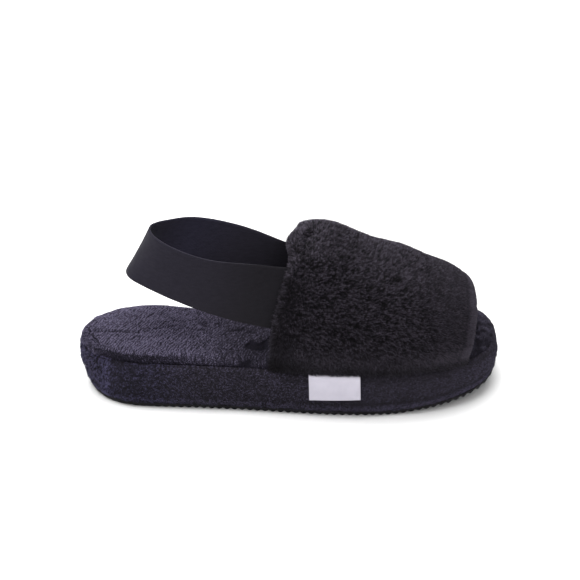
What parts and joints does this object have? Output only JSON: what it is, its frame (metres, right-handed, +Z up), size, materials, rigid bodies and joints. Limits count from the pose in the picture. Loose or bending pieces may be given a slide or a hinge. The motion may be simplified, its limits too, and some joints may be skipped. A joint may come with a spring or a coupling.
{
  "type": "slingback platform slipper",
  "caption": "Open-toe right-foot platform slipper with a deep-pile band over the forefoot, a flat elastic heel strap and a padded fleece footbed on a fleece-wrapped foam sole.",
  "frame": {"origin": "on the floor under the middle of the slipper's bounding box", "axes": "+X from heel to toe, +Y to the wearer's inner side of the foot, +Z up from the floor"},
  "size_m": [0.2616, 0.1036, 0.1076],
  "materials": {
    "sole_rubber": "matt black rubber with fine cross ripples",
    "wrap_fleece": "short charcoal navy fleece",
    "footbed_fleece": "short charcoal navy fleece over foam",
    "pile": "deep black plush pile",
    "elastic": "matt black woven elastic",
    "tag": "plain white woven tape"
  },
  "bodies": {
    "root": {"outsole": "sole_rubber", "midsole": "wrap_fleece", "insole": "footbed_fleece", "vamp": "pile", "heel_strap": "elastic", "label": "tag"}
  },
  "joints": []
}
